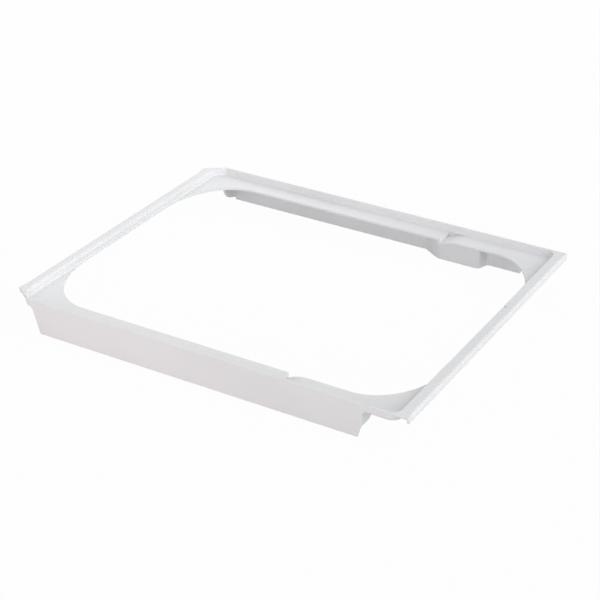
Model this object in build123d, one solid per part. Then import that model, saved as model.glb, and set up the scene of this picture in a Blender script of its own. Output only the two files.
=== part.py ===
"""Drawer carriage of a refrigerator: one open frame, moulded in one piece.

The frame is a shallow tray with most of its floor cut away.  What is left of the floor is a
ledge along each side, on which the drawer's edges slide, and a web in each corner.  A skirt
hangs under each side rail, and a flat bar with a turned-down lip closes each end.

Millimetres.  +X runs along the side rails from the rear bar to the front bar, +Y from the near
rail to the far rail, +Z up.  The origin is at the middle of the frame, level with the lower
edge of the skirts.
"""
import os

from build123d import *

# Overall size
length = 420.0
width = 347.0
height = 34.5

# Moulded wall, and the round on its free edges
wall = 2.0
edge_round = 0.6

# Tray: the rim stands this far above the ledges
rim_rise = 7.5
foot_round = 1.2
belly_round = 4.5
rear_strip = 10.8
front_strip = 11.2
tray_front_round = 11.0
tray_rear_cut = 11.0
tray_rear_round = 6.0

# Flat top of the rim: square front corners, cut-off rear corners
plate_front_round = 1.2
plate_rear_run = 19.5
plate_rear_reach = 14.0
plate_rear_round = 8.0
plate_tip_round = 1.0

# Lips under the outer edges of the two end bars
lip_drop = 6.6
rear_lip_end = 15.0

# Round on the long edges of the end bars, which fades out before the corners of the frame
bar_round = 3.0
bar_round_fade = 6.0
rear_round_end = 17.0
front_round_end = 3.0

# Opening for the drawer, with quarter-ellipse corners
ledge_reach = 22.8
opening_rear = 11.1
opening_front = 10.6
corner_run = 57.0
corner_reach = 78.0

# Gate mark on the inner edge of the front bar
gate_place = 42.7
gate_inset = 9.2
gate_radius = 1.6
gate_depth = 1.5

# Side skirts, placed from the rear edge of the frame
skirt_rear_top = 25.7
skirt_rear_foot = 33.4
skirt_front_top = 376.2
skirt_front_knee = 375.6
skirt_front_foot = 372.4
skirt_knee_drop = 22.6
skirt_rear_flare = 3.2
skirt_front_flare = 5.0
skirt_flare_rise = 3.0

# End walls that close the channel between a skirt and its ledge
gusset_reach = 20.2
gusset_round = 8.0
front_gusset_drop = 13.2
rear_gusset_drop = 16.0
rear_gusset_slope = 6.0

# Catch in each ledge: a square step down, then a round ramp back up
catch_step = 291.5
catch_run = 20.5
catch_depth = 5.2

# Cam wall behind each skirt, below the catch: an easy lead-in and a square end
cam_start = 261.5
cam_lead = 28.5
cam_end = 336.8
cam_end_slant = 4.8
cam_reach = 14.7
cam_round = 4.0

rear = -length / 2
front = length / 2
side = width / 2
ledge_top = height - rim_rise
ledge_under = ledge_top - wall
over = 1.0


def rounded_outline(points, radii):
    """Closed flat face through the points, with one corner radius for each point."""
    face = make_face(Polyline(*points, close=True))
    for point, radius in zip(points, radii):
        if radius > 0:
            corner = face.vertices().sort_by_distance(Vector(*point))[0]
            face = fillet(corner, radius)
    return face


def tray_outline():
    """Plan of the tray's outer face."""
    start = rear + rear_strip - wall
    end = front - front_strip + wall
    cut = tray_rear_cut
    points = [
        (start, side - cut),
        (start + cut, side),
        (end, side),
        (end, -side),
        (start + cut, -side),
        (start, -side + cut),
    ]
    back, ahead = tray_rear_round, tray_front_round
    return rounded_outline(points, [back, back, ahead, ahead, back, back])


def tray_pan():
    """Tray before it is hollowed, with a rounded belly."""
    pan = extrude(Pos(0, 0, ledge_under) * tray_outline(), height - ledge_under)
    return fillet(pan.edges().group_by(Axis.Z)[0], belly_round)


def tray_pocket():
    """Hollow of the tray, with a round at the foot of the rim."""
    inside = offset(tray_outline(), -wall)
    pocket = extrude(Pos(0, 0, ledge_top) * inside, rim_rise + over)
    return fillet(pocket.edges().group_by(Axis.Z)[0], foot_round)


def lip(x, span):
    """Turned-down outer edge of an end bar, centred on x."""
    bar = Box(wall, span, lip_drop - edge_round, align=(Align.CENTER, Align.CENTER, Align.MIN))
    bar = fillet(bar.edges().group_by(Axis.Z)[0], edge_round)
    return Pos(x, 0, height - lip_drop) * bar


def rim_plate():
    """Flat top of the rim, with the end bars' full reach and their lips."""
    points = [
        (rear, side - plate_rear_reach),
        (rear + plate_rear_run, side),
        (front, side),
        (front, -side),
        (rear + plate_rear_run, -side),
        (rear, -side + plate_rear_reach),
    ]
    tip, cut, square = plate_tip_round, plate_rear_round, plate_front_round
    face = rounded_outline(points, [tip, cut, square, square, cut, tip])
    plate = extrude(Pos(0, 0, height - wall) * face, wall)
    plate += lip(rear + wall / 2, width - 2 * rear_lip_end)
    return plate + lip(front - wall / 2, width - 2 * plate_front_round)


def opening():
    """Cutter for the drawer's opening."""
    end_rear = rear + opening_rear
    end_front = front - opening_front
    run = (end_front - end_rear) / 2
    reach = side - ledge_reach
    with BuildSketch(Plane.XY.offset(-over)) as plan:
        with BuildLine():
            Line((0, reach), (run - corner_run, reach))
            EllipticalCenterArc((run - corner_run, reach - corner_reach), corner_run, corner_reach,
                                start_angle=0, arc_size=90)
            Line((run, reach - corner_reach), (run, 0))
            mirror(about=Plane.XZ)
            mirror(about=Plane.YZ)
        make_face()
    return Pos((end_rear + end_front) / 2, 0, 0) * extrude(plan.sketch, height + 2 * over)


def bar_edge(face_x, into, radius, y):
    """Section of the cutter that rounds a long edge of a bar, at one place across the frame."""
    spread = radius * (1 - 0.5 ** 0.5)
    with BuildSketch() as view:
        with BuildLine():
            ThreePointArc((face_x + into * radius, height), (face_x + into * spread, height - spread),
                          (face_x, height - radius))
            Polyline((face_x, height - radius), (face_x - into * over, height - radius),
                     (face_x - into * over, height + over), (face_x + into * radius, height + over),
                     (face_x + into * radius, height))
        make_face()
    return Pos(0, y, 0) * (Plane.XZ * view.sketch)


def bar_rounding(face_x, into, end):
    """Cutter for the round on a long edge of a bar, which fades to the common edge round at its ends."""
    full = side - end - bar_round_fade
    wide = bar_edge(face_x, into, bar_round, full)
    fine = bar_edge(face_x, into, edge_round, side - end)
    fade = loft([wide, fine], ruled=True)
    return extrude(wide, 2 * full) + [fade, mirror(fade, about=Plane.XZ)]


def bar_roundings():
    """Cutters for both edges of the rear bar and the outer edge of the front bar."""
    return [
        bar_rounding(rear, 1, rear_round_end),
        bar_rounding(rear + rear_strip, -1, rear_round_end),
        bar_rounding(front, -1, front_round_end),
    ]


def upright(face, near, far):
    """Solid from a face drawn in X and Z, between two distances in from the near outer face."""
    return Pos(0, far - side, 0) * extrude(Plane.XZ * face, far - near)


def skirt():
    """Near side skirt: a plate flush with the rail's outer face, slanted at both ends."""
    top = ledge_under + belly_round
    shoulder = ledge_under + skirt_flare_rise
    points = [
        (rear + skirt_rear_top - skirt_rear_flare, top),
        (rear + skirt_rear_top - skirt_rear_flare, shoulder),
        (rear + skirt_rear_top, ledge_under),
        (rear + skirt_rear_foot, 0),
        (rear + skirt_front_foot, 0),
        (rear + skirt_front_knee, height - skirt_knee_drop),
        (rear + skirt_front_top, ledge_under),
        (rear + skirt_front_top + skirt_front_flare, shoulder),
        (rear + skirt_front_top + skirt_front_flare, top),
    ]
    radii = [0, 0, skirt_rear_flare, 0, 0, skirt_front_flare, skirt_front_flare, 0, 0]
    plate = upright(rounded_outline(points, radii), 0, wall)
    outer = plate.faces().sort_by(Axis.Y)[0].edges()
    return fillet(outer.filter_by(lambda edge: edge.center().Z < shoulder), edge_round)


def gusset(top_x, foot_x, drop, slope):
    """Near end wall: a plate across the channel, from one place on the ledge to one at the foot."""
    root = ledge_under + wall / 2
    foot = ledge_under - drop
    points = [(wall / 2, root), (wall / 2, foot - slope), (gusset_reach, foot), (gusset_reach, root)]
    across = rounded_outline(points, [0, 0, gusset_round, 0])
    sheet = make_face(Polyline((top_x, root), (foot_x, 0), (foot_x + wall, 0), (top_x + wall, root),
                               close=True))
    cutter = Pos(rear, -side, 0) * extrude(Plane.YZ * across, length)
    return upright(sheet, 0, gusset_reach) & cutter


def gussets():
    """Both near end walls, each along its end of the skirt."""
    back = gusset(rear + skirt_rear_top, rear + skirt_rear_foot, rear_gusset_drop, rear_gusset_slope)
    ahead = rear + skirt_front_top - wall
    return back + gusset(ahead, ahead, front_gusset_drop, 0)


def cam_plan(inset):
    """Plan of the near cam, drawn in from its inner face by the inset."""
    foot = wall / 2
    reach = cam_reach - inset
    start = rear + cam_start + inset
    full = start + cam_lead
    end = rear + cam_end - inset
    third = cam_lead / 3
    corner = (end - cam_end_slant, reach)
    with BuildSketch() as plan:
        with BuildLine():
            Bezier((start, foot), (start + third, foot), (full - third, reach), (full, reach))
            Polyline((full, reach), corner, (end, foot), (start, foot))
        make_face()
        fillet(plan.vertices().sort_by_distance(Vector(*corner))[0], cam_round - inset)
    return Pos(0, -side) * plan.sketch


def cam():
    """Near cam wall, hollow and open below."""
    solid = extrude(cam_plan(0), ledge_under + wall / 2)
    hollow = extrude(Pos(0, 0, -over) * cam_plan(wall), ledge_under + over)
    return solid - hollow


def catch_view(drop):
    """Side view of the catch between its surface, lowered by the drop, and the flat ledge."""
    step = rear + catch_step
    end = step + catch_run
    high = ledge_top - drop
    low = high - catch_depth
    radius = (catch_run ** 2 + catch_depth ** 2) / (2 * catch_depth)
    points = [(end, high), (step - drop, high), (step - drop, low)]
    if drop > 0:
        points.append((step, low))
    with BuildSketch() as view:
        with BuildLine():
            Polyline(*points)
            RadiusArc((step, low), (end, high), radius)
        make_face()
    return view.sketch


def rail_parts():
    """What hangs under the near ledge."""
    hung = skirt() + gussets() + cam()
    root = Vector(rear + cam_end, wall - side, ledge_under / 2)
    hung = fillet(hung.edges().filter_by(Axis.Z).sort_by_distance(root)[0], cam_round)
    return hung + upright(catch_view(wall), wall / 2, ledge_reach)


def gate_mark():
    """Shallow round recess in the inner edge of the front bar."""
    place = Pos(front - gate_inset, gate_place, height - gate_depth)
    return place * Cylinder(gate_radius, gate_depth + over, align=(Align.CENTER, Align.CENTER, Align.MIN))


def carriage_frame():
    """The whole moulding."""
    frame = tray_pan() + rim_plate() - tray_pocket()
    frame = fillet(frame.edges().group_by(Axis.Z)[-1], edge_round)
    frame -= bar_roundings()
    frame -= opening()
    rail = rail_parts()
    notch = upright(catch_view(0), wall, ledge_reach + over)
    frame += [rail, mirror(rail, about=Plane.XZ)]
    return frame - [notch, mirror(notch, about=Plane.XZ), gate_mark()]


os.makedirs("parts", exist_ok=True)
moulding = carriage_frame()
moulding.label = "carriage_frame"
export_step(moulding, "parts/carriage_frame.step")
print("solids", len(moulding.solids()), "volume_cm3", round(moulding.volume / 1000, 2))
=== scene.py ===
"""Drawer carriage of a refrigerator on a white studio table.

Metres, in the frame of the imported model: +X runs along the side rails towards the front bar,
+Y from the near rail to the far rail, +Z up from the lower edge of the skirts.
"""

import bmesh
import bpy
from mathutils import Matrix, Vector


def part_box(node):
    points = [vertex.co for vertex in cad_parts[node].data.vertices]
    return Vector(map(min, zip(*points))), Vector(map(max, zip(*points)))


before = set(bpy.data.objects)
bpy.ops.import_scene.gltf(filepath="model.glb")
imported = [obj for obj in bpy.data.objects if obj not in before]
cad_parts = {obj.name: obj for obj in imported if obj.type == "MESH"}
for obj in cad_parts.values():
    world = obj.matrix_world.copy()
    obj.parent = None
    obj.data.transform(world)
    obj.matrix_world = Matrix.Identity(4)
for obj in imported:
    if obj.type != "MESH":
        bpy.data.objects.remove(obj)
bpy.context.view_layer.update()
scene = bpy.context.scene
MM = 0.001

# Carriage frame: one injection moulding, so one node carries the whole object.
# High-impact polystyrene in appliance white, satin as it left a lightly spark-eroded mould.
# The eye gets a soft sheen, a fine grain, and rub lines where the drawer slides on the ledges.
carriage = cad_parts["carriage_frame"]
low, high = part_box("carriage_frame")
rim_rise = 7.5 * MM
ledge_level = high.z - rim_rise
level_tolerance = 0.4 * MM

appliance_white = "#E5E6E8"
aged_white = "#E1E2E3"
rubbed_white = "#DCDDDF"
styrene_ior = 1.59
satin_roughness = 0.46
rubbed_roughness = 0.36

flow_size = 70.0 * MM
flow_range = (0.35, 0.7)
rub_width = 1.6 * MM
rub_length = 90.0 * MM
rub_range = (0.52, 0.72)
grain_size = 2.0 * MM
grain_depth = 0.05 * MM
grain_strength = 0.12


def linear(hex_colour):
    """Linear RGBA of an sRGB hex colour."""
    parts = [int(hex_colour[i:i + 2], 16) / 255 for i in (1, 3, 5)]
    return [c / 12.92 if c <= 0.04045 else ((c + 0.055) / 1.055) ** 2.4 for c in parts] + [1.0]


def add_node(owner, kind, settings=None, **links):
    """Adds a node to a material or a world.

    A link's key is an input's name, or its number after an i, and its value a constant or a socket.
    """
    tree = owner.node_tree
    node = tree.nodes.new(kind)
    for name, value in (settings or {}).items():
        setattr(node, name, value)
    for key, value in links.items():
        socket = node.inputs[int(key[1:])] if key[1:].isdigit() else node.inputs[key.replace("_", " ")]
        if isinstance(value, bpy.types.NodeSocket):
            tree.links.new(value, socket)
        else:
            socket.default_value = value
    return node


polystyrene = bpy.data.materials.new("moulded_high_impact_polystyrene")
polystyrene.use_nodes = True
polystyrene.node_tree.nodes.clear()
place = add_node(polystyrene, "ShaderNodeTexCoord").outputs["Object"]
facing = add_node(polystyrene, "ShaderNodeNewGeometry").outputs["Normal"]

# Flow of the melt: broad, faint clouds of a slightly older white.
flow = add_node(polystyrene, "ShaderNodeTexNoise", Vector=place, Scale=1 / flow_size, Detail=3.0)
flow_share = add_node(polystyrene, "ShaderNodeMapRange", Value=flow.outputs["Fac"],
                      From_Min=flow_range[0], From_Max=flow_range[1])
melt = add_node(polystyrene, "ShaderNodeMix", {"data_type": "RGBA"}, Factor=flow_share.outputs["Result"],
                i6=linear(appliance_white), i7=linear(aged_white))

# Rub lines of the drawer: streaks along the rails, on the flat of the ledges only.
streak_place = add_node(polystyrene, "ShaderNodeMapping", Vector=place,
                        Scale=(1 / rub_length, 1 / rub_width, 0.0))
streaks = add_node(polystyrene, "ShaderNodeTexNoise", Vector=streak_place.outputs["Vector"],
                   Scale=1.0, Detail=4.0)
streak_share = add_node(polystyrene, "ShaderNodeMapRange", Value=streaks.outputs["Fac"],
                        From_Min=rub_range[0], From_Max=rub_range[1])
level = add_node(polystyrene, "ShaderNodeSeparateXYZ", Vector=place)
up = add_node(polystyrene, "ShaderNodeSeparateXYZ", Vector=facing)
on_ledge = add_node(polystyrene, "ShaderNodeMath", {"operation": "COMPARE"}, i0=level.outputs["Z"],
                    i1=ledge_level, i2=level_tolerance)
flat_ledge = add_node(polystyrene, "ShaderNodeMath", {"operation": "MULTIPLY"},
                      i0=on_ledge.outputs["Value"], i1=up.outputs["Z"])
rubbed = add_node(polystyrene, "ShaderNodeMath", {"operation": "MULTIPLY", "use_clamp": True},
                  i0=flat_ledge.outputs["Value"], i1=streak_share.outputs["Result"])
worn = add_node(polystyrene, "ShaderNodeMix", {"data_type": "RGBA"}, Factor=rubbed.outputs["Value"],
                i6=melt.outputs[2], i7=linear(rubbed_white))

# Mould grain, drawn about five times coarser than the real 0.4 mm so that it shows at all.
grain = add_node(polystyrene, "ShaderNodeTexNoise", Vector=place, Scale=1 / grain_size, Detail=2.0)
grain_bump = add_node(polystyrene, "ShaderNodeBump", Height=grain.outputs["Fac"], Strength=grain_strength,
                      Distance=grain_depth)
sheen = add_node(polystyrene, "ShaderNodeMapRange", Value=rubbed.outputs["Value"],
                 To_Min=satin_roughness, To_Max=rubbed_roughness)
plastic = add_node(polystyrene, "ShaderNodeBsdfPrincipled", Base_Color=worn.outputs[2],
                   Roughness=sheen.outputs["Result"], IOR=styrene_ior, Normal=grain_bump.outputs["Normal"])
add_node(polystyrene, "ShaderNodeOutputMaterial", Surface=plastic.outputs["BSDF"])

carriage.data.materials.clear()
carriage.data.materials.append(polystyrene)

# Studio table: a white laminate sheet under the part, far larger than the view.
# The camera and mirror-like rays see it as almost plain white, and it still takes the part's shadow.
table_size = 12.0
table_bounce = "#D0D0D0"
plain_share = 0.97
white = linear("#FFFFFF")
mesh = bpy.data.meshes.new("studio_table")
shape = bmesh.new()
bmesh.ops.create_grid(shape, x_segments=1, y_segments=1, size=table_size / 2)
shape.to_mesh(mesh)
shape.free()
studio_table = bpy.data.objects.new("studio_table", mesh)
scene.collection.objects.link(studio_table)

# The plain white isn't sampled as a lamp, which would only add speckle.
laminate = bpy.data.materials.new("white_laminate")
laminate.use_nodes = True
laminate.node_tree.nodes.clear()
ray = add_node(laminate, "ShaderNodeLightPath")
seen = add_node(laminate, "ShaderNodeMath", {"operation": "MAXIMUM"}, i0=ray.outputs["Is Camera Ray"],
                i1=ray.outputs["Is Glossy Ray"])
matt = add_node(laminate, "ShaderNodeBsdfDiffuse", Color=linear(table_bounce))
bright = add_node(laminate, "ShaderNodeEmission", Color=white, Strength=1.0)
share = add_node(laminate, "ShaderNodeMath", {"operation": "MULTIPLY"}, i0=seen.outputs["Value"],
                 i1=plain_share)
top = add_node(laminate, "ShaderNodeMixShader", i0=share.outputs["Value"], i1=matt.outputs["BSDF"],
               i2=bright.outputs["Emission"])
add_node(laminate, "ShaderNodeOutputMaterial", Surface=top.outputs["Shader"])
laminate.cycles.emission_sampling = "NONE"
mesh.materials.append(laminate)

# Studio light: an even white room that glows from the upper right, the low right and the front, as
# from large soft boxes. A lamp behind the far left corner gives the rear bar its sheen, and a small
# warm one, low in front, warms the near skirt. The camera sees the room as plain white.
even_level = 0.5
room_glows = [
    {"toward": (0.79, 0.12, 0.59), "tightness": 8.0, "level": 2.3, "colour": "#FFFFFF"},
    {"toward": (0.96, -0.26, 0.10), "tightness": 16.0, "level": 1.65, "colour": "#FFFFFF"},
    {"toward": (0.12, -0.98, 0.14), "tightness": 12.0, "level": 2.3, "colour": "#F8FAFF"},
]
room = bpy.data.worlds.new("white_room")
scene.world = room
room.use_nodes = True
room.node_tree.nodes.clear()
looking = add_node(room, "ShaderNodeTexCoord").outputs["Generated"]
light = [even_level] * 3
for glow in room_glows:
    toward = Vector(glow["toward"]).normalized()
    tint = [glow["level"] * c for c in linear(glow["colour"])[:3]]
    nearness = add_node(room, "ShaderNodeVectorMath", {"operation": "DOT_PRODUCT"}, i0=looking, i1=toward)
    ahead = add_node(room, "ShaderNodeMath", {"operation": "MAXIMUM"}, i0=nearness.outputs["Value"], i1=0.0)
    soft = add_node(room, "ShaderNodeMath", {"operation": "POWER"}, i0=ahead.outputs["Value"],
                    i1=glow["tightness"])
    light = add_node(room, "ShaderNodeVectorMath", {"operation": "MULTIPLY_ADD"}, i0=soft.outputs["Value"],
                     i1=tint, i2=light).outputs["Vector"]
room_ray = add_node(room, "ShaderNodeLightPath")
room_seen = add_node(room, "ShaderNodeMath", {"operation": "MAXIMUM"},
                     i0=room_ray.outputs["Is Camera Ray"], i1=room_ray.outputs["Is Transmission Ray"])
walls = add_node(room, "ShaderNodeMix", {"data_type": "RGBA"}, i0=room_seen.outputs["Value"], i6=light,
                 i7=white)
sky = add_node(room, "ShaderNodeBackground", Color=walls.outputs[2], Strength=1.0)
add_node(room, "ShaderNodeOutputWorld", Surface=sky.outputs["Background"])

lamps = {
    "far_left_lamp": {"at": (-0.7, 0.8, 0.7), "size": 0.7, "watts": 2.5, "colour": "#FFFFFF"},
    "warm_front_lamp": {"at": (-0.25, -0.75, 0.06), "size": 0.4, "watts": 0.75, "colour": "#FFC2B2"},
}
middle = (low + high) / 2
for name, setting in lamps.items():
    lamp_data = bpy.data.lights.new(name, "AREA")
    lamp_data.size = setting["size"]
    lamp_data.energy = setting["watts"]
    lamp_data.color = linear(setting["colour"])[:3]
    lamp = bpy.data.objects.new(name, lamp_data)
    lamp.location = setting["at"]
    lamp.rotation_euler = (middle - lamp.location).to_track_quat("-Z", "Y").to_euler()
    scene.collection.objects.link(lamp)

# Camera: matched to the photograph, a long lens that looks down over the near right corner.
# It stands about 1.6 m from the middle of the part.
picture_lens = 96.643
picture_sensor = 36.0
eye = Vector((0.691213, -1.185315, 0.763616))
across = Vector((0.86354183, 0.50423185, 0.00676433))
upward = Vector((-0.24920325, 0.41504439, 0.87500623))
camera_data = bpy.data.cameras.new("photo_camera")
camera_data.lens = picture_lens
camera_data.sensor_width = picture_sensor
camera = bpy.data.objects.new("photo_camera", camera_data)
turn = Matrix((across, upward, across.cross(upward))).transposed()
camera.matrix_world = Matrix.Translation(eye) @ turn.to_4x4()
scene.collection.objects.link(camera)
scene.camera = camera
scene.view_settings.view_transform = "Standard"
